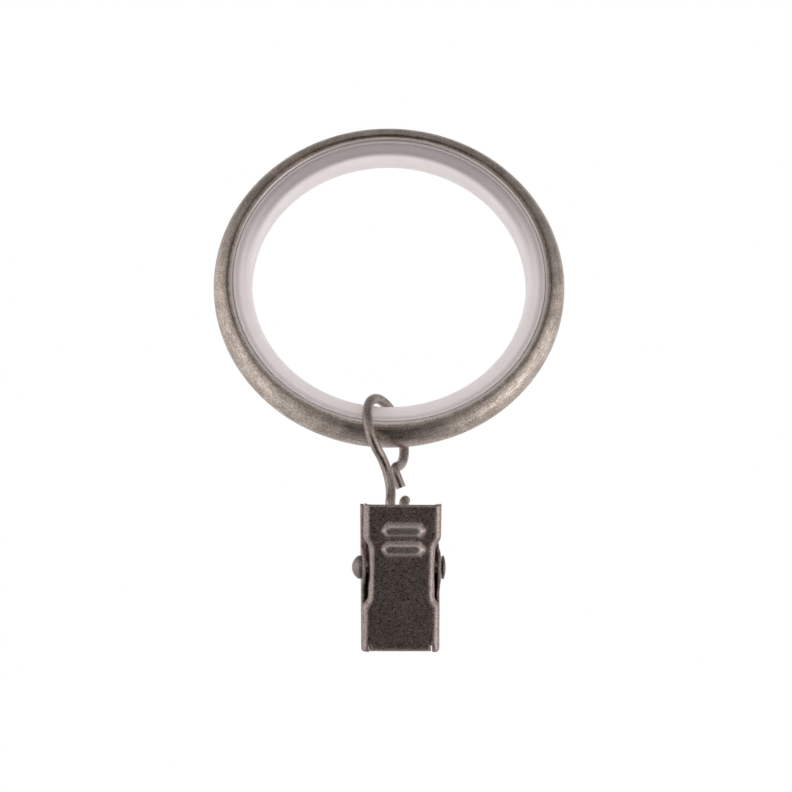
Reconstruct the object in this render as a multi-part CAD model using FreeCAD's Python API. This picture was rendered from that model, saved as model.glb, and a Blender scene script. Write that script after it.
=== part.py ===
import FreeCAD, Part
import math
import os
from FreeCAD import Placement, Rotation, Vector

# Curtain ring with clip, in millimetres. The ring's axis is +Y, so that it hangs on a rod along Y.
# +Z is up, -Y is the front, and the origin is the centre of the ring. The wire hook hangs on the ring's
# lowest point, and the spring clip hangs on the hook.

# Metal ring: a channel rolled from strip, open towards the rod, with a crease and a flared lip on each side
shell_width = 6.2
shell_body = 2.35
lip_height = 1.05
shell_wall = 0.6
crease_depth = 0.35
lip_flare = 0.28
lip_round = 0.2
seam_width = 0.35
seam_angle = -6.5
tongue_r = 1.8
seam_line = 0.22
seam_depth = 0.2

# Plastic liner: a stem in the channel, a thin flange on the lips and a crown that the rod bears on
bore_d = 48.4
crown_height = 2.85
liner_play = 0.1
flange_thickness = 0.45
flange_recess = 0.25
flange_ledge = 0.65
crown_draft = 0.45
crown_round = 0.8

# Wire hook: a loop round the ring, a waist and a small eye through the clip, each end flared back
wire_d = 1.7
loop_r = 6.2
eye_r = 2.75
waist_r = 7.0
eye_offset = 4.2
eye_drop = 13.95
hook_twist = 31.5
hook_slide = -0.55
hook_seat = 1.0
tail_bend_r = 1.3
loop_leave = -54.0
loop_tail_turn = 98.0
loop_tail = 2.3
eye_leave = 38.0
eye_tail_turn = 75.0
eye_tail = 0.4

# Clip jaws: two stamped pans that meet at the mouth, with ears on one rivet
sheet = 0.5
jaw_bend_r = 1.2
jaw_grip = 14.1
jaw_tail = 11.1
jaw_angle = 8.0
mouth_lip = 1.15
mouth_gap = 0.1
front_width = 13.2
waist_width = 11.3
waist_top = 4.55
waist_bottom = -5.65
shoulder_rise = 1.3
shoulder_round = 1.6
corner_round = 0.6
ear_gap = 0.55
flange_depth = 2.0
ear_r = 2.1
ear_slope = 1.7
lip_fold_r = 0.8
relief_inset = 1.3
relief_width = 0.3
relief_height = 1.1

# Pressed ribs on the front jaw, for the thumb
rib_length = 7.7
rib_height = 2.6
rib_rise = 0.55
rib_bevel = 0.65
rib_point = 0.9
rib_round = 0.3
rib_pitch = 3.2
rib_from_top = 4.4
rib_count = 2

# Slot in the rear jaw for the hook's eye, and the strip above it that the clip hangs by
slot_width = 6.4
slot_height = 4.4
slot_round = 2.0
strip_height = 2.3
eye_seat = 0.35

# Rivet: a domed head at the left, and an end that is set flatter at the right
rivet_d = 2.4
rivet_play = 0.06
rivet_end_play = 0.35
head_d = 4.0
head_height = 1.6
head_rim = 0.5
set_height = 0.65
set_rim = 0.3
head_seat = 0.05

# Torsion spring on the rivet, with a leg against each jaw
spring_wire_d = 0.75
spring_bore_play = 0.3
spring_turns = 8
spring_pitch = 0.8
spring_leg = 7.5
spring_seat = 0.1

# How far the clip is turned round its own length, as it hangs on the hook
clip_yaw = 5.0

# Derived sizes of the ring, from the bore outwards
bore_r = bore_d / 2
root_r = bore_r + crown_height
flange_r = root_r + flange_thickness
lip_r = flange_r + liner_play
crease_r = lip_r + lip_height
ring_r = crease_r + shell_body
half_shell = shell_width / 2
half_crease = half_shell - crease_depth
half_lip = half_crease + lip_flare
body_r = (half_shell ** 2 + shell_body ** 2) / (2 * shell_body)
body_centre_r = ring_r - body_r
cavity_r = body_r - shell_wall

# Derived sizes of the hook
wire_r = wire_d / 2
hook_side = Vector(math.sin(math.radians(hook_twist)), math.cos(math.radians(hook_twist)), 0)
loop_centre = Vector(hook_slide, 0, -bore_r + hook_seat + wire_r - loop_r)
tube_centre = Vector(0, 0, -(bore_r + ring_r) / 2)

# Derived sizes of the clip, in its own frame: rivet along X, mouth down, front towards -Y
slope = math.radians(jaw_angle)
mouth_reach = (jaw_grip * math.sin(slope) + mouth_gap / 2) / math.cos(slope)
plate = mouth_reach + mouth_lip
half_front = front_width / 2
half_waist = waist_width / 2
half_rear = half_waist + ear_gap + sheet
rivet_hole_r = rivet_d / 2 + rivet_play
strip_drop = eye_r - wire_r - eye_seat - strip_height / 2
clear = 1.0
side = Vector(1, 0, 0)
origin = Vector(0, 0, 0)


def rounded_face(corners):
    """Flat face from (point, radius) corners, with a tangent arc at each corner that has a radius."""
    stops = []
    for i, (point, radius) in enumerate(corners):
        to_last = (corners[i - 1][0] - point).normalize()
        to_next = (corners[(i + 1) % len(corners)][0] - point).normalize()
        if radius == 0:
            stops.append((point, point, point))
            continue
        half = to_last.getAngle(to_next) / 2
        reach = radius / math.tan(half)
        middle = (to_last + to_next).normalize() * (radius / math.sin(half) - radius)
        stops.append((point + to_last * reach, point + middle, point + to_next * reach))
    edges = []
    for i, (start, middle, end) in enumerate(stops):
        if not start.isEqual(end, 1e-7):
            edges.append(Part.Arc(start, middle, end).toShape())
        next_start = stops[(i + 1) % len(stops)][0]
        if not end.isEqual(next_start, 1e-7):
            edges.append(Part.makeLine(end, next_start))
    return Part.Face(Part.Wire(edges))


def mirrored(half):
    """A ring profile from its front half, (r, axial, radius) from the outside in, and its mirror image."""
    front = [(Vector(r, -y, 0), radius) for r, y, radius in half]
    back = [(Vector(r, y, 0), radius) for r, y, radius in reversed(half)]
    return front + back


def turned(profile):
    """Solid of revolution round Y of a profile whose X is the radius."""
    return profile.revolve(origin, Vector(0, 1, 0), 360)


def arc_through(start, middle, end):
    return Part.Arc(Vector(*start), Vector(*middle), Vector(*end)).toShape()


def polyline(*points):
    return [Part.makeLine(Vector(*a), Vector(*b)) for a, b in zip(points, points[1:])]


def ring_shell():
    """Rolled channel: a round body, a crease, and a lip on each side that flares out to the liner."""
    inner_crease = half_crease - shell_wall
    inner_lip = half_lip - shell_wall
    ledge_r = crease_r + shell_wall
    inner_body = math.sqrt(cavity_r ** 2 - (ledge_r - body_centre_r) ** 2)
    outer = arc_through((crease_r, half_shell, 0), (ring_r, 0, 0), (crease_r, -half_shell, 0))
    front = polyline((crease_r, -half_shell, 0), (crease_r, -half_crease, 0), (lip_r, -half_lip, 0),
                     (lip_r, -inner_lip, 0), (crease_r, -inner_crease, 0), (ledge_r, -inner_body, 0))
    inner = arc_through((ledge_r, -inner_body, 0), (ring_r - shell_wall, 0, 0), (ledge_r, inner_body, 0))
    back = polyline((ledge_r, inner_body, 0), (crease_r, inner_crease, 0), (lip_r, inner_lip, 0),
                    (lip_r, half_lip, 0), (crease_r, half_crease, 0), (crease_r, half_shell, 0))
    shell = turned(Part.Face(Part.Wire([outer] + front + [inner] + back)))
    lips = [e for e in shell.Edges if is_circle(e, lip_r, half_lip)]
    return shell.makeFillet(lip_round, lips).cut([seam(), tongue_line()])


def is_circle(edge, radius, height):
    """True for an edge that runs round the ring's axis at a radius, that far to either side."""
    round_edge = isinstance(edge.Curve, Part.Circle) and abs(edge.Curve.Radius - radius) < 1e-6
    return round_edge and abs(abs(edge.Curve.Center.y) - height) < 1e-6


def seam():
    """Gap in both lips where the ends of the strip meet, just beside the ring's lowest point."""
    slot = Part.makeBox(seam_width, shell_width, lip_height + clear)
    slot.translate(Vector(-seam_width / 2, -shell_width / 2, -crease_r))
    slot.rotate(origin, Vector(0, 1, 0), -seam_angle)
    return slot


def tongue_line():
    """Line of the joint on the round body, where a rounded tongue of one end lies in a notch of the other."""
    depth = shell_body + clear - seam_depth
    reach = tongue_r + seam_line
    bend = Part.makeCylinder(reach, depth).cut(Part.makeCylinder(tongue_r, depth))
    bend = bend.common(Part.makeBox(reach, 2 * reach, depth, Vector(0, -reach, 0)))
    arms = [Part.makeBox(seam_line, half_shell, depth, Vector(0, y, 0)) for y in (tongue_r, -tongue_r - half_shell)]
    line = bend.fuse(arms)
    line.translate(Vector(0, 0, -ring_r - clear))
    line.rotate(origin, Vector(0, 1, 0), -seam_angle)
    return line.cut(Part.makeTorus(body_centre_r, body_r - seam_depth, origin, Vector(0, 1, 0)))


def ring_liner():
    """Moulded ring: the stem fills the channel, the flange caps the lips and the crown carries the rod."""
    half_stem = half_crease - shell_wall - liner_play
    stem_r = body_centre_r + math.sqrt(cavity_r ** 2 - (half_stem + liner_play) ** 2) - liner_play
    half_flange = half_lip - flange_recess
    half_root = half_lip - flange_ledge
    half_crown = half_root - crown_draft
    return turned(rounded_face(mirrored([
        (stem_r, half_stem, 0), (flange_r, half_stem, 0), (flange_r, half_flange, 0), (root_r, half_flange, 0),
        (root_r, half_root, 0), (bore_r, half_crown, crown_round)])))


def on_hook(along, up):
    """A point of the hook's plane, measured from the centre of the loop."""
    return loop_centre + hook_side * along + Vector(0, 0, up)


def arc_edge(centre, radius, start_deg, end_deg):
    """Arc in the hook's plane round an (along, up) centre, from one angle to the other."""
    points = []
    for angle in (start_deg, (start_deg + end_deg) / 2, end_deg):
        turn = math.radians(angle)
        points.append(on_hook(centre[0] + radius * math.cos(turn), centre[1] + radius * math.sin(turn)))
    return Part.Arc(*points).toShape()


def flared_tail(centre, radius, leave_deg, turn_deg, length):
    """Edges that leave a round bend at an angle of it, bend back the other way and end straight.

    A positive turn bends to the left. The edges run from the round bend to the wire's end."""
    away = math.radians(leave_deg)
    reach = radius + tail_bend_r
    bend = (centre[0] + reach * math.cos(away), centre[1] + reach * math.sin(away))
    end_deg = leave_deg + 180 + turn_deg
    end = math.radians(end_deg)
    heading = end + math.copysign(math.pi / 2, turn_deg)
    stop = (bend[0] + tail_bend_r * math.cos(end), bend[1] + tail_bend_r * math.sin(end))
    tip = (stop[0] + length * math.cos(heading), stop[1] + length * math.sin(heading))
    return [arc_edge(bend, tail_bend_r, leave_deg + 180, end_deg), Part.makeLine(on_hook(*stop), on_hook(*tip))]


def waist_centre():
    """Centre of the waist's bend, which touches the loop and the eye from the front."""
    to_eye = math.hypot(eye_offset, eye_drop)
    from_loop = loop_r + waist_r
    from_eye = eye_r + waist_r
    along = (to_eye ** 2 + from_loop ** 2 - from_eye ** 2) / (2 * to_eye)
    out = math.sqrt(from_loop ** 2 - along ** 2)
    dx = eye_offset / to_eye
    dz = -eye_drop / to_eye
    return (dx * along + dz * out, dz * along - dx * out)


def wire_hook():
    """One bent wire: flared end, loop round the ring, waist, eye through the rear jaw, flared end."""
    loop = (0.0, 0.0)
    eye = (eye_offset, -eye_drop)
    waist = waist_centre()
    loop_end = math.degrees(math.atan2(waist[1], waist[0])) + 360
    eye_start = math.degrees(math.atan2(waist[1] - eye[1], waist[0] - eye[0]))
    loop_tail_edges = flared_tail(loop, loop_r, loop_leave, loop_tail_turn, loop_tail)
    eye_tail_edges = flared_tail(eye, eye_r, eye_leave, -eye_tail_turn, eye_tail)
    edges = loop_tail_edges[::-1]
    edges.append(arc_edge(loop, loop_r, loop_leave, loop_end))
    edges.append(arc_edge(waist, waist_r, loop_end - 180, eye_start - 180))
    edges.append(arc_edge(eye, eye_r, eye_start, eye_leave + 360))
    edges += eye_tail_edges
    tail = edges[0]
    section = Part.makeCircle(wire_r, tail.valueAt(tail.LastParameter), tail.tangentAt(tail.LastParameter))
    return Part.Wire(edges).makePipeShell([Part.Wire(section)], True, True)


def jaw_outline(rows, top, low):
    """Outline of a jaw's plate in its own XZ plane, from (height, half width, radius) rows down one side."""
    heights = [top] + [height for height, _, _ in rows[1:-1]] + [low]
    right = [(Vector(half, 0, height), radius) for height, (_, half, radius) in zip(heights, rows)]
    left = [(Vector(-point.x, 0, point.z), radius) for point, radius in reversed(right)]
    return rounded_face(right + left)


def filleted_block(face, front, depth, radius):
    """The face's prism from the front plane backwards, rounded along the front edges of its two sides."""
    face.translate(Vector(0, front, 0))
    low = face.BoundBox.ZMin + 1e-6
    top = face.BoundBox.ZMax - 1e-6
    block = face.extrude(Vector(0, depth, 0))
    flat = [e for e in block.Edges if abs(e.BoundBox.YMin - front) + abs(e.BoundBox.YMax - front) < 1e-6]
    return block.makeFillet(radius, [e for e in flat if e.BoundBox.ZMin < top and e.BoundBox.ZMax > low])


def pan(rows):
    """Pressed pan: a plate at the front, a wall bent back down each side, and a lip folded back at the mouth."""
    depth = plate + ear_r + clear
    half = rows[-1][1]
    square = rows[:-1] + [(-jaw_grip, half, 0)]
    outer = filleted_block(jaw_outline(square, jaw_tail, -jaw_grip - clear), -plate, depth, jaw_bend_r)
    inside = jaw_outline(square, jaw_tail + clear + sheet, -jaw_grip - 2 * clear - sheet)
    inside = Part.Face(inside.OuterWire.makeOffset2D(-sheet))
    walls = outer.cut(filleted_block(inside, sheet - plate, depth, jaw_bend_r - sheet))
    blank = jaw_outline(rows, jaw_tail, -jaw_grip)
    blank.translate(Vector(0, -plate - clear, 0))
    walls = walls.common(blank.extrude(Vector(0, depth + 2 * clear, 0)))
    room = half - relief_inset + relief_width / 2
    notch = Part.makeBox(2 * room, depth + clear, relief_height + clear)
    notch.translate(Vector(-room, -plate - clear, -jaw_grip - clear))
    return walls.cut(notch).fuse(folded_lip(room - relief_width)).removeSplitter()


def folded_lip(half):
    """Lower edge of the plate, turned back between the two side walls with a narrow slot beside each."""
    back = ear_r + clear
    face = rounded_face([
        (Vector(-half, -plate, relief_height - jaw_grip), 0), (Vector(-half, -plate, -jaw_grip), lip_fold_r),
        (Vector(-half, back, -jaw_grip), 0), (Vector(-half, back, sheet - jaw_grip), 0),
        (Vector(-half, sheet - plate, sheet - jaw_grip), lip_fold_r - sheet),
        (Vector(-half, sheet - plate, relief_height - jaw_grip), 0)])
    return face.extrude(side * (2 * half))


def side_profile(half_width):
    """Solid that keeps what a jaw has in side view: top flanges, ears round the rivet, walls to the mouth."""
    front = -plate - clear
    flange = flange_depth - plate
    ear_foot = -ear_r - ear_slope
    lip = -mouth_reach
    foot = ear_foot * math.tan(slope) - mouth_gap / 2 / math.cos(slope)
    low = -jaw_grip - clear
    low_lip = lip - clear * math.tan(slope)
    face = rounded_face([
        (Vector(0, front, jaw_tail), 0), (Vector(0, flange, jaw_tail), 0),
        (Vector(0, flange, ear_r + ear_slope), ear_slope), (Vector(0, ear_r, ear_r), ear_r),
        (Vector(0, ear_r, -ear_r), ear_r), (Vector(0, foot, ear_foot), ear_slope / 2),
        (Vector(0, low_lip, low), 0), (Vector(0, front, low), 0)])
    face.translate(Vector(-half_width - clear, 0, 0))
    return face.extrude(side * (2 * half_width + 2 * clear))


def rivet_hole(half_width):
    length = 2 * half_width + 2 * clear
    return Part.makeCylinder(rivet_hole_r, length, Vector(-length / 2, 0, 0), side)


def rib_block(middle, front, inset, rise):
    """Pressed rib: a long hexagon that narrows to its flat top, in front of a plane, with rounded edges."""
    wires = []
    for level, shrink in ((front, inset), (front - rise, inset + rib_bevel)):
        half = rib_length / 2 - shrink
        tall = rib_height / 2 - shrink
        point = half - rib_point
        ring = [(half, 0), (point, tall), (-point, tall), (-half, 0), (-point, -tall), (point, -tall)]
        wires.append(Part.makePolygon([Vector(x, level, middle + z) for x, z in ring + ring[:1]]))
    rib = Part.makeLoft(wires, True, True)
    return rib.makeFillet(rib_round, [e for e in rib.Edges if e.BoundBox.YMin < front - rise / 2])


def front_jaw():
    """Front jaw: drawn in to a waist so that its ears run inside the rear ones, with pressed ribs."""
    half_rise = shoulder_rise / 2
    jaw = pan([
        (jaw_tail, half_front, 0), (waist_top + half_rise, half_front, shoulder_round),
        (waist_top - half_rise, half_waist, shoulder_round), (waist_bottom + half_rise, half_waist, shoulder_round),
        (waist_bottom - half_rise, half_front, shoulder_round), (-jaw_grip, half_front, corner_round)])
    jaw = jaw.common(side_profile(half_front)).cut(rivet_hole(half_front))
    for i in range(rib_count):
        middle = jaw_tail - rib_from_top - i * rib_pitch
        jaw = jaw.fuse(rib_block(middle, -plate, 0, rib_rise))
        jaw = jaw.cut(rib_block(middle, sheet - plate, sheet / 2, rib_rise))
    jaw = jaw.removeSplitter()
    jaw.rotate(origin, side, jaw_angle)
    return jaw


def hook_slot():
    """Rounded slot through the plate, under the strip that the eye goes round."""
    top = jaw_tail - strip_height
    low = top - slot_height
    half = slot_width / 2
    face = rounded_face([(Vector(x, -plate - clear, z), slot_round)
                         for x, z in ((-half, top), (half, top), (half, low), (-half, low))])
    return face.extrude(Vector(0, 2 * clear, 0))


def rear_jaw():
    """Rear jaw: straight sides whose ears run outside the front ones, and the slot for the hook's eye."""
    jaw = pan([(jaw_tail, half_rear, 0), (-jaw_grip, half_rear, corner_round)])
    jaw = jaw.common(side_profile(half_rear)).cut([rivet_hole(half_rear), hook_slot()])
    jaw.rotate(origin, Vector(0, 0, 1), 180)
    jaw.rotate(origin, side, -jaw_angle)
    return jaw


def rivet_head(foot, way, height, rim):
    """Edges of half a domed head, from the middle of its dome to its seat on the shaft's end."""
    head_r = head_d / 2
    crown = height - rim
    dome_r = (head_r ** 2 + crown ** 2) / (2 * crown)
    dome_angle = math.asin(head_r / dome_r) / 2
    centre = height - dome_r
    middle = (foot + way * (centre + dome_r * math.cos(dome_angle)), dome_r * math.sin(dome_angle), 0)
    dome = arc_through((foot + way * height, 0, 0), middle, (foot + way * rim, head_r, 0))
    return [dome] + polyline((foot + way * rim, head_r, 0), (foot, head_r, 0), (foot, rivet_d / 2, 0))


def pivot_rivet():
    """Rivet with two domed heads, a little longer than the ears are apart."""
    left = -half_rear - head_seat
    right = half_rear + rivet_end_play
    edges = polyline((left - head_height, 0, 0), (right + set_height, 0, 0))
    edges += rivet_head(right, 1, set_height, set_rim)
    edges += polyline((right, rivet_d / 2, 0), (left, rivet_d / 2, 0))
    edges += rivet_head(left, -1, head_height, head_rim)[::-1]
    return Part.Face(Part.Wire(edges)).revolve(origin, side, 360)


def torsion_spring():
    """Close-wound coil on the rivet whose two legs press the upper ends of the jaws apart."""
    coil_r = rivet_d / 2 + spring_bore_play + spring_wire_d / 2
    reach = plate - sheet - spring_wire_d / 2 - spring_seat
    leg_angle = slope + math.asin(reach / math.hypot(coil_r, spring_leg)) - math.atan2(coil_r, spring_leg)
    turns = spring_turns - 0.5 - leg_angle / math.pi
    height = spring_pitch * turns
    coil = Part.makeHelix(spring_pitch, height, coil_r)
    coil.rotate(origin, Vector(0, 1, 0), 90)
    coil.rotate(origin, side, 270 + math.degrees(leg_angle))
    coil.translate(side * (-height / 2))
    winding = coil.Edges[0]
    first = winding.valueAt(winding.FirstParameter)
    last = winding.valueAt(winding.LastParameter)
    front_tip = first - winding.tangentAt(winding.FirstParameter) * spring_leg
    rear_tip = last + winding.tangentAt(winding.LastParameter) * spring_leg
    path = Part.Wire([Part.makeLine(front_tip, first), winding, Part.makeLine(last, rear_tip)])
    section = Part.makeCircle(spring_wire_d / 2, front_tip, first - front_tip)
    return path.makePipeShell([Part.Wire(section)], True, True)


def single(shape):
    """The one solid that a cut or joined shape is made of."""
    if len(shape.Solids) != 1:
        raise ValueError("a piece is not one solid")
    return shape.Solids[0]


def weight(shapes):
    """Volume and centre of mass of steel pieces taken together."""
    volume = sum(shape.Volume for shape in shapes)
    middle = origin
    for shape in shapes:
        middle = middle + shape.CenterOfMass * (shape.Volume / volume)
    return volume, middle


def hook_placement(hook, clip):
    """Lean of the hook at which its own weight and the clip's, at the eye, hang under the ring's tube."""
    hook_volume, hook_middle = weight([hook])
    clip_volume, _ = weight(clip)
    eye = on_hook(eye_offset, -eye_drop)
    pull = (hook_middle - tube_centre) * hook_volume + (eye - tube_centre) * clip_volume
    return Placement(origin, Rotation(side, math.degrees(math.atan(pull.y / pull.z))), tube_centre)


def clip_placement(clip, pivot):
    """The clip with the middle of the rear jaw's top strip on the pivot and its centre of mass under that."""
    strip = Rotation(side, -jaw_angle).multVec(Vector(0, plate - sheet / 2, jaw_tail - strip_height / 2))
    _, middle = weight(clip)
    yaw = Rotation(Vector(0, 0, 1), clip_yaw)
    hang = yaw.multVec(strip - middle)
    turn = Rotation(side, math.degrees(math.atan2(hang.y, hang.z))).multiply(yaw)
    return Placement(pivot - turn.multVec(strip), turn)


# The clip is made in its own frame, and the hook upright; then both are hung where their weight takes them
clip = {
    "front_jaw": single(front_jaw()),
    "rear_jaw": single(rear_jaw()),
    "pivot_rivet": single(pivot_rivet()),
    "torsion_spring": single(torsion_spring()),
}
hook = single(wire_hook())
hook_place = hook_placement(hook, clip.values())
hook.Placement = hook_place.multiply(hook.Placement)
clip_pivot = hook_place.multVec(on_hook(eye_offset, -eye_drop)) - Vector(0, 0, strip_drop)
clip_place = clip_placement(clip.values(), clip_pivot)
nodes = {"ring_shell": single(ring_shell()), "ring_liner": single(ring_liner()), "wire_hook": hook}
for name, shape in clip.items():
    shape.Placement = clip_place.multiply(shape.Placement)
    nodes[name] = shape

os.makedirs("parts", exist_ok=True)
for name, shape in nodes.items():
    shape.exportStep("parts/" + name + ".step")
    print(name, shape.ShapeType, "solids", len(shape.Solids), "valid", shape.isValid(), round(shape.Volume, 2))

hinge = clip_place.Rotation.multVec(side)
print("tube centre", tuple(tube_centre), "hook lean", hook_place.Rotation.toEulerAngles("XYZ"))
print("clip pivot", tuple(clip_pivot))
print("rivet centre", tuple(clip_place.Base))
print("rivet axis", tuple(hinge))
print("mouth", tuple(clip_place.multVec(Vector(0, 0, -jaw_grip))))
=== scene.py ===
import math

import bpy
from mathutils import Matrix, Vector


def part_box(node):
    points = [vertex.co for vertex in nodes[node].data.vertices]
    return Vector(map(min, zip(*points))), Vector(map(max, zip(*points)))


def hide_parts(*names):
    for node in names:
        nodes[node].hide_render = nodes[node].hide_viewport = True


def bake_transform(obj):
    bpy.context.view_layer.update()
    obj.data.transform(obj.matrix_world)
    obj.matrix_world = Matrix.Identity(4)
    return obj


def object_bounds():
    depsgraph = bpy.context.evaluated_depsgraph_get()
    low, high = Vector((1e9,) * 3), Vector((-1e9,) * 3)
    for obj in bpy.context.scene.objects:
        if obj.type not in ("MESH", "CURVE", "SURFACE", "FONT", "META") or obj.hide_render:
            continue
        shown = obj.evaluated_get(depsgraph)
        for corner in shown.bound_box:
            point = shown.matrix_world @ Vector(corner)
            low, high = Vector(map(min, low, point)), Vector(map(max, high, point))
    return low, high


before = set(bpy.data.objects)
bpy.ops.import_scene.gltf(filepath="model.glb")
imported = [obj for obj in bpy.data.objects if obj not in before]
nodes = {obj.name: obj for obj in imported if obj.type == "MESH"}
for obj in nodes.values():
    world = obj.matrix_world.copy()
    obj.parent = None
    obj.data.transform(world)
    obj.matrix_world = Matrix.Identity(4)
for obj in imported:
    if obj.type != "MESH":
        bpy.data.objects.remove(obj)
cad_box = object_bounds()

# Camera of the photograph, below the ring and in front of it: metres, degrees, pixels and a sensor in mm
image_size = 792
sensor_width = 36.0
camera_distance = 0.65
camera_below = 26.0
camera_azimuth = -0.5
camera_near = 0.01
pixels_per_metre = 5655.0
ring_centre_pixel = (389.0, 285.4)

# Studio, in metres, watts and shares of white
floor_drop = 0.5
floor_radius = 3.0
floor_corners = 96
floor_colour = (0.98, 0.98, 0.98)
fill_level = 0.85
right_place = (0.62, -0.2, -0.3)
right_watts = 0.4
left_place = (-0.62, -0.2, -0.3)
left_watts = 0.07
softbox_size = (0.3, 0.4)

# Hood of dark cloth that the metal reflects: how dense it is in each part, from 0 open to 1 closed
hood_radius = 0.45
hood_subdivisions = 4
hood_colour = (0.015, 0.013, 0.014)
lens_density = 1.0
front_density = 0.87
top_density = 0.77
window_density = 0.2
side_density = 0.0
back_density = 0.25
under_density = 0.5

# Where the cloth changes from part to part, as spans of a unit direction from the hood's centre
top_rise = (-0.2, 0.5)
window_foot = (-0.5, -0.2)
window_head = (0.25, 0.45)
window_ahead = (-0.1, -0.35)
window_aside = (0.4, 0.05)
window_share_above = 0.25
side_aside = (0.1, 0.85)
side_head = (0.35, 0.75)
side_shift_rise = (-0.3, 0.3)
side_shift = 0.22
right_aside = (0.0, 0.3)
right_rise = (0.0, 0.45)
right_loss = 0.72
back_behind = (0.0, 0.75)
lens_nearness = (0.84, 0.955)
under_fall = (-0.6, -0.9)
under_behind = (-0.2, 0.4)

# Middle of the closed part of the cloth, which the clip's front reflects to the camera's lens
lens_way = (0.0, -0.75, -0.66)

# Ring and liner, as radii in metres worked out from the shell
ring_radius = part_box("ring_shell")[1].x
crease_radius = ring_radius - 0.00235
lip_radius = ring_radius - 0.0033
flange_radius = ring_radius - 0.00415
liner_wall = (ring_radius - 0.0064, ring_radius - 0.0056)
liner_crown = (ring_radius - 0.0067, ring_radius - 0.0061)
# Radii of the painted shade on the liner's flange
flange_shade_radii = (flange_radius - 0.001, flange_radius + 0.0001)

# Wear, painted highlights and relief, in metres
crease_fade = (0.0005, 0.0001)
# Span of the painted highlight along the lip's edge
lip_highlight_span = (lip_radius + 0.0005, lip_radius + 0.0002)
# Heights above the clip's face over which its painted highlight grows
rib_highlight_rise = (0.0001, 0.0005)
worn_edge = 0.0002
eased_edge = 0.0008
fine_relief = 0.00002
steel_relief = 0.00003

# Noise in cells per metre, and round the ring in cells per radian
ring_blotch = 330.0
ring_grain = 3300.0
brush_across = 4500.0
brush_around = 12.0
wire_blotch = 600.0
steel_blotch = 420.0
steel_grain = 4200.0
steel_speck = 1500.0
steel_patch = 900.0
liner_cloud = 240.0
liner_turning = 3400.0
liner_lines = 9000.0

# Spans of a noise's values over which an effect grows
most_noise = (0.3, 0.7)
mottle_noise = (0.37, 0.63)
brush_noise = (0.3, 0.75)
dark_brush_noise = (0.42, 0.75)
speck_noise = (0.28, 0.2)
patch_noise = (0.3, 0.6)
streak_noise = (0.45, 0.6)
line_noise = (0.35, 0.65)

# Roughness and transmission, each between two values
ring_roughness = (0.28, 0.45)
wire_roughness = (0.24, 0.4)
steel_roughness = (0.26, 0.44)
liner_roughness = (0.4, 0.5)
liner_transmission = (0.08, 0.14)

# Heights on the liner over which painted shade greys its wall, where the metal behind it would show
# through, in metres from the ring's axis
shade_rise = (0.0, 0.024)
streak_shade_rise = (-0.01, 0.02)

# Shares of the liner's streaks of painted shade that are left low on the ring and where its plastic has no
# cloud
streak_shade_below = 0.24
streak_clear = 0.25

# Colours of the plating, each from its dark to its light parts
ring_colours = (0.41, 0.337, 0.29), (0.82, 0.71, 0.635)
wire_colours = (0.28, 0.226, 0.202), (0.53, 0.448, 0.407)
jaw_colours = (0.225, 0.17, 0.157), (0.55, 0.448, 0.415)
rivet_colours = (0.2, 0.165, 0.15), (0.4, 0.34, 0.31)
spring_colours = (0.33, 0.31, 0.3), (0.48, 0.45, 0.44)

# Colours of the liner: its plastic, and the painted shade in lines on its flange beside the metal lip, with
# the share that it covers
plastic_colours = (0.89, 0.805, 0.8), (0.94, 0.855, 0.85)
flange_shade_colours = (0.46, 0.385, 0.38), (0.7, 0.61, 0.605)
flange_shade_share = 0.55

# Layers over the plating and the liner: a colour, and the most that it covers
brush_layer = (0.3, 0.25, 0.215), 0.55
crease_layer = (0.16, 0.12, 0.095), 0.35
# Painted highlight along the lip's edge
lip_highlight_layer = (0.95, 0.88, 0.82), 0.8
speck_layer = (0.08, 0.06, 0.055), 0.7
edge_layer = (0.72, 0.63, 0.58), 0.5
# Painted highlight on what stands above the clip's face
rib_highlight_layer = (0.78, 0.69, 0.64), 0.6
# Painted shade on the liner's wall towards the top
shade_layer = (0.4, 0.355, 0.36), 0.8
# Turned lines on the liner's wall, darkened by painted shade
streak_shade_layer = (0.33, 0.285, 0.285), 0.5


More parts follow.
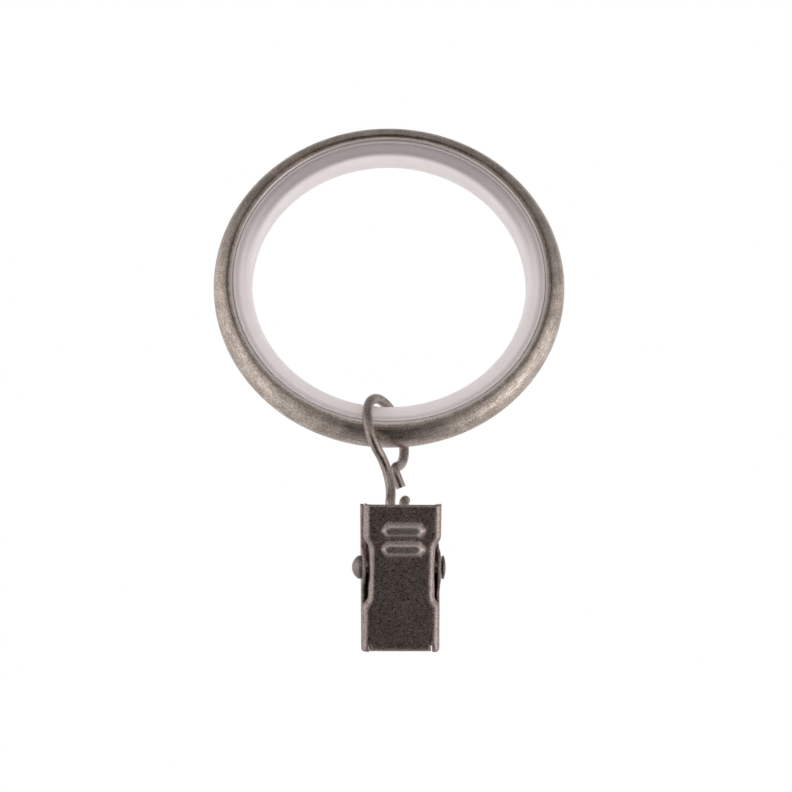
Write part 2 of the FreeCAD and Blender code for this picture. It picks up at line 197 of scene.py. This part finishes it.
class Finish:
    """Principled material, with short ways to add nodes and link them."""

    def __init__(self, name):
        self.material = bpy.data.materials.new(name)
        self.material.use_nodes = True
        self.tree = self.material.node_tree
        self.shader = self.tree.nodes["Principled BSDF"]

    def put(self, socket, value):
        if isinstance(value, bpy.types.NodeSocket):
            self.tree.links.new(value, socket)
        else:
            socket.default_value = value

    def add(self, kind, inputs, output=0, **settings):
        node = self.tree.nodes.new("ShaderNode" + kind)
        for key, value in settings.items():
            setattr(node, key, value)
        for key, value in inputs.items():
            self.put(node.inputs[key], value)
        return node.outputs[output]

    def set(self, **inputs):
        for key, value in inputs.items():
            self.put(self.shader.inputs[key.replace("_", " ")], value)

    def place(self):
        """Place in the object's own frame, in metres."""
        return self.add("TexCoord", {}, "Object")

    def parts(self, vector):
        """The x, y and z of a vector."""
        return self.add("SeparateXYZ", {"Vector": vector}).node.outputs

    def noise(self, vector, scale, detail=3.0, rough=0.6):
        inputs = {"Vector": vector, "Scale": scale, "Detail": detail, "Roughness": rough}
        return self.add("TexNoise", inputs, "Fac")

    def math(self, operation, first, second=0.0):
        return self.add("Math", {0: first, 1: second}, operation=operation)

    def product(self, first, *others):
        for other in others:
            first = self.math("MULTIPLY", first, other)
        return first

    def vector(self, operation, first, second=(0.0, 0.0, 0.0), output="Vector"):
        return self.add("VectorMath", {0: first, 1: second}, output, operation=operation)

    def flat(self, place):
        """Place seen along the ring's axis."""
        return self.vector("MULTIPLY", place, (1.0, 0.0, 1.0))

    def radius(self, place):
        """Distance from the ring's axis."""
        return self.vector("LENGTH", self.flat(place), output="Value")

    def span(self, value, low, high, first=0.0, last=1.0):
        """Value carried from the span low-high to the span first-last, and held at its ends."""
        inputs = {"Value": value, "From Min": low, "From Max": high, "To Min": first, "To Max": last}
        return self.add("MapRange", inputs, interpolation_type="SMOOTHSTEP")

    def mix(self, share, first, second):
        """Colour between two others: the colour form of Mix has its ends at 6 and 7 and its result at 2."""
        return self.add("Mix", {0: share, 6: first, 7: second}, 2, data_type="RGBA")

    def cover(self, colour, share, layer):
        """Colour with a share of a layer over it."""
        over, most = layer
        return self.mix(self.product(share, most), colour, rgba(over))

    def soft_edges(self, radius):
        """Normal of the surface with its edges eased over a radius."""
        return self.add("Bevel", {"Radius": radius}, samples=8)

    def bump(self, height, distance, strength, normal=None):
        inputs = {"Height": height, "Distance": distance, "Strength": strength}
        if normal:
            inputs["Normal"] = normal
        self.set(Normal=self.add("Bump", inputs))

    def edge_wear(self, radius):
        """Share of wear on edges: how far an eased normal turns away from the surface's own."""
        own = self.add("NewGeometry", {}, "Normal")
        alike = self.vector("DOT_PRODUCT", self.soft_edges(radius), own, "Value")
        slight_turn, full_turn = 0.97, 0.75
        return self.span(alike, slight_turn, full_turn)


def rgba(colour):
    return (*colour, 1.0)


def grey(level):
    return (level, level, level, 1.0)


def look(thing, target):
    thing.rotation_euler = (target - thing.location).to_track_quat("-Z", "Y").to_euler()


def add_camera():
    """Camera at the photograph's angle, aimed so that the ring's centre falls on its pixel."""
    below = math.radians(camera_below)
    azimuth = math.radians(camera_azimuth)
    level = Vector((-math.sin(azimuth), math.cos(azimuth), 0))
    ahead = level * math.cos(below) + Vector((0, 0, math.sin(below)))
    right = ahead.cross(Vector((0, 0, 1))).normalized()
    up = right.cross(ahead)
    data = bpy.data.cameras.new("photo_camera")
    data.sensor_width = sensor_width
    data.lens = pixels_per_metre * camera_distance * sensor_width / image_size
    data.clip_start = camera_near
    camera = bpy.data.objects.new("photo_camera", data)
    bpy.context.scene.collection.objects.link(camera)
    camera.location = -ahead * camera_distance
    half = image_size / 2
    aside = (half - ring_centre_pixel[0]) / pixels_per_metre
    down = (half - ring_centre_pixel[1]) / pixels_per_metre
    look(camera, right * aside - up * down)
    bpy.context.scene.camera = camera


def add_softbox(name, place, watts):
    data = bpy.data.lights.new(name, "AREA")
    data.shape = "RECTANGLE"
    data.size, data.size_y = softbox_size
    data.energy = watts
    lamp = bpy.data.objects.new(name, data)
    bpy.context.scene.collection.objects.link(lamp)
    lamp.location = Vector(place)
    look(lamp, Vector((0, 0, 0)))


def add_world():
    """White studio behind the object, with a plain level of fill light."""
    world = bpy.data.worlds.new("studio")
    bpy.context.scene.world = world
    world.use_nodes = True
    tree = world.node_tree
    tree.nodes.clear()
    path = tree.nodes.new("ShaderNodeLightPath")
    seen = path.outputs["Is Camera Ray"]
    for ray in ("Is Glossy Ray", "Is Transmission Ray"):
        either = tree.nodes.new("ShaderNodeMath")
        either.operation = "MAXIMUM"
        tree.links.new(seen, either.inputs[0])
        tree.links.new(path.outputs[ray], either.inputs[1])
        seen = either.outputs[0]
    fill = tree.nodes.new("ShaderNodeBackground")
    fill.inputs["Color"].default_value = grey(fill_level)
    white = tree.nodes.new("ShaderNodeBackground")
    white.inputs["Color"].default_value = grey(1.0)
    mix = tree.nodes.new("ShaderNodeMixShader")
    tree.links.new(seen, mix.inputs["Fac"])
    tree.links.new(fill.outputs[0], mix.inputs[1])
    tree.links.new(white.outputs[0], mix.inputs[2])
    out = tree.nodes.new("ShaderNodeOutputWorld")
    tree.links.new(mix.outputs[0], out.inputs["Surface"])


def add_floor():
    bpy.ops.mesh.primitive_circle_add(vertices=floor_corners, radius=floor_radius, fill_type="NGON")
    floor = bpy.context.object
    floor.name = "floor"
    floor.location.z = cad_box[0][2] - floor_drop
    finish = Finish("floor_finish")
    finish.set(Base_Color=rgba(floor_colour), Roughness=0.9, Specular_IOR_Level=0.2)
    floor.data.materials.append(finish.material)


def hood_cloth():
    """Dark cloth, dense over and before the object and open to the white studio beside it."""
    finish = Finish("hood_cloth")
    way = finish.vector("NORMALIZE", finish.place())
    x, y, z = finish.parts(way)
    width = finish.math("ABSOLUTE", x)
    density = finish.mix(finish.span(z, *top_rise), grey(front_density), grey(top_density))
    window = finish.product(finish.span(z, *window_foot), finish.span(y, *window_ahead),
                            finish.span(width, *window_aside),
                            finish.span(z, *window_head, 1.0, window_share_above))
    density = finish.mix(window, density, grey(window_density))
    aside = finish.math("SUBTRACT", width, finish.span(z, *side_shift_rise, 0.0, side_shift))
    dim_right = finish.product(finish.span(x, *right_aside), finish.span(z, *right_rise, 0.0, right_loss))
    side = finish.product(finish.span(aside, *side_aside), finish.span(z, *side_head, 1.0, 0.0),
                          finish.math("SUBTRACT", 1.0, dim_right))
    density = finish.mix(side, density, grey(side_density))
    density = finish.mix(finish.span(y, *back_behind), density, grey(back_density))
    lens = finish.vector("DOT_PRODUCT", way, lens_way, "Value")
    density = finish.mix(finish.span(lens, *lens_nearness), density, grey(lens_density))
    under = finish.product(finish.span(z, *under_fall), finish.span(y, *under_behind))
    density = finish.mix(under, density, grey(under_density))
    clear = finish.add("BsdfTransparent", {})
    dark = finish.add("BsdfDiffuse", {"Color": rgba(hood_colour)})
    cloth = finish.add("MixShader", {0: density, 1: clear, 2: dark})
    finish.tree.links.new(cloth, finish.tree.nodes["Material Output"].inputs["Surface"])
    return finish.material


def add_hood():
    """Hood that only reflections see, so that the metal's front is dark as in the photograph."""
    bpy.ops.mesh.primitive_ico_sphere_add(subdivisions=hood_subdivisions, radius=hood_radius)
    hood = bpy.context.object
    hood.name = "dark_hood"
    hood.data.materials.append(hood_cloth())
    hood.visible_camera = False
    hood.visible_diffuse = False
    hood.visible_transmission = False
    hood.visible_shadow = False


def mottled(finish, place, colours, blotch, grain, blotch_share):
    """Colour of worn plating: soft blotches broken up by a fine grain."""
    dark, light = colours
    coarse = finish.product(finish.noise(place, blotch, detail=4.0), blotch_share)
    fine = finish.product(finish.noise(place, grain, detail=2.0, rough=0.7), 1.0 - blotch_share)
    share = finish.span(finish.math("ADD", coarse, fine), *mottle_noise)
    return finish.mix(share, rgba(dark), rgba(light))


def ring_metal():
    """Pewter plating: satin, mottled, brushed round the ring, dark in the crease, with a painted highlight
    along the lip.
    """
    finish = Finish("ring_metal_finish")
    place = finish.place()
    radius = finish.radius(place)
    across = finish.parts(place)["Y"]
    around = finish.vector("MULTIPLY", finish.vector("NORMALIZE", finish.flat(place)), (brush_around,) * 3)
    along = finish.add("CombineXYZ", {"Y": finish.product(across, brush_across)})
    lines = {"Vector": finish.vector("ADD", around, along), "W": finish.product(radius, brush_across),
             "Scale": 1.0, "Detail": 3.0}
    brush = finish.add("TexNoise", lines, "Fac", noise_dimensions="4D")
    colour = mottled(finish, place, ring_colours, ring_blotch, ring_grain, blotch_share=0.38)
    colour = finish.cover(colour, finish.span(brush, *dark_brush_noise), brush_layer)
    from_crease = finish.math("ABSOLUTE", finish.math("SUBTRACT", radius, crease_radius))
    colour = finish.cover(colour, finish.span(from_crease, *crease_fade), crease_layer)
    # Painted highlight along the lip's edge
    colour = finish.cover(colour, finish.span(radius, *lip_highlight_span), lip_highlight_layer)
    finish.set(Base_Color=colour, Metallic=1.0, Roughness=finish.span(brush, *brush_noise, *ring_roughness))
    finish.bump(brush, fine_relief, strength=0.35)
    return finish.material


def wire_metal():
    """Drawn wire with the ring's plating: satin, with fine pits."""
    finish = Finish("hook_wire_finish")
    place = finish.place()
    colour = mottled(finish, place, wire_colours, wire_blotch, steel_grain, blotch_share=0.35)
    grain = finish.noise(place, steel_grain)
    finish.set(Base_Color=colour, Metallic=1.0, Roughness=finish.span(grain, *most_noise, *wire_roughness))
    finish.bump(grain, fine_relief, strength=0.3)
    return finish.material


def clip_steel(name, colours, face=None):
    """Darkened sheet steel: a speckled satin skin, bare on worn edges, with a painted highlight on what
    stands above a face.
    """
    finish = Finish(name)
    place = finish.place()
    colour = mottled(finish, place, colours, steel_blotch, steel_grain, blotch_share=0.15)
    speck = finish.span(finish.noise(place, steel_speck, detail=2.0), *speck_noise)
    colour = finish.cover(colour, speck, speck_layer)
    patch = finish.span(finish.noise(place, steel_patch), *patch_noise)
    colour = finish.cover(colour, finish.product(finish.edge_wear(worn_edge), patch), edge_layer)
    # Painted highlight on what stands above the face, such as its ribs
    if face:
        ahead = finish.vector("DOT_PRODUCT", place, face.normal, "Value")
        height = finish.math("SUBTRACT", ahead, face.normal.dot(face.center))
        colour = finish.cover(colour, finish.span(height, *rib_highlight_rise), rib_highlight_layer)
    grain = finish.noise(place, steel_grain, rough=0.65)
    finish.set(Base_Color=colour, Metallic=1.0, Roughness=finish.span(grain, *most_noise, *steel_roughness))
    finish.bump(grain, steel_relief, strength=0.4, normal=finish.soft_edges(eased_edge))
    return finish.material


def liner_plastic():
    """Milky plastic with fine turned lines, with painted shade where the metal behind it would show
    through: its upper wall, its lines there and its flange.
    """
    finish = Finish("liner_plastic_finish")
    place = finish.place()
    radius = finish.radius(place)
    height = finish.parts(place)["Z"]
    outwards = finish.add("CombineXYZ", {"X": radius})
    cloud = finish.noise(place, liner_cloud)
    turned = finish.noise(outwards, liner_turning, detail=2.0)
    wall = finish.span(radius, *liner_wall)
    colour = finish.mix(finish.span(cloud, *most_noise), *map(rgba, plastic_colours))
    # Painted shade: the front wall greys towards the top of the ring
    colour = finish.cover(colour, finish.product(wall, finish.span(height, *shade_rise)), shade_layer)
    # Turned lines on the wall, darkened by painted shade, most towards the top of the ring
    streak = finish.product(finish.span(turned, *streak_noise), wall,
                            finish.span(cloud, *patch_noise, streak_clear, 1.0),
                            finish.span(height, *streak_shade_rise, streak_shade_below, 1.0))
    colour = finish.cover(colour, streak, streak_shade_layer)
    # Painted shade on the flange beside the metal lip, in fine lines
    lines = finish.noise(outwards, liner_lines, detail=2.0)
    behind = finish.mix(finish.span(lines, *line_noise), *map(rgba, flange_shade_colours))
    shown = finish.product(finish.span(radius, *flange_shade_radii), flange_shade_share)
    colour = finish.mix(shown, colour, behind)
    finish.set(Base_Color=colour, IOR=1.49, Roughness=finish.span(cloud, *most_noise, *liner_roughness),
               Transmission_Weight=finish.span(radius, *liner_crown, *liner_transmission),
               Subsurface_Weight=0.6, Subsurface_Radius=(1.0, 0.95, 0.95), Subsurface_Scale=0.002)
    finish.bump(turned, fine_relief, strength=0.1)
    return finish.material


def dress(node, material):
    piece = nodes[node]
    piece.data.materials.clear()
    piece.data.materials.append(material)


def front_face(node):
    """Largest face of a piece towards the front."""
    return max(nodes[node].data.polygons, key=lambda face: -face.normal.y * face.area)


def add_spring(material):
    """Torsion spring: a copy of the part's mesh in the given finish, standing in for the part, which is
    hidden.
    """
    mesh = nodes["torsion_spring"].data.copy()
    mesh.materials.clear()
    mesh.materials.append(material)
    spring = bpy.data.objects.new("wound_spring", mesh)
    bpy.context.scene.collection.objects.link(spring)
    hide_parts("torsion_spring")
    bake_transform(spring)


add_camera()
add_world()
add_floor()
add_hood()
add_softbox("key_right", right_place, right_watts)
add_softbox("key_left", left_place, left_watts)
dress("ring_shell", ring_metal())
dress("ring_liner", liner_plastic())
dress("wire_hook", wire_metal())
dress("front_jaw", clip_steel("ribbed_steel_finish", jaw_colours, front_face("front_jaw")))
dress("rear_jaw", clip_steel("clip_steel_finish", jaw_colours))
dress("pivot_rivet", clip_steel("rivet_steel_finish", rivet_colours))
add_spring(clip_steel("spring_steel_finish", spring_colours))

bpy.context.scene.view_settings.view_transform = "Standard"
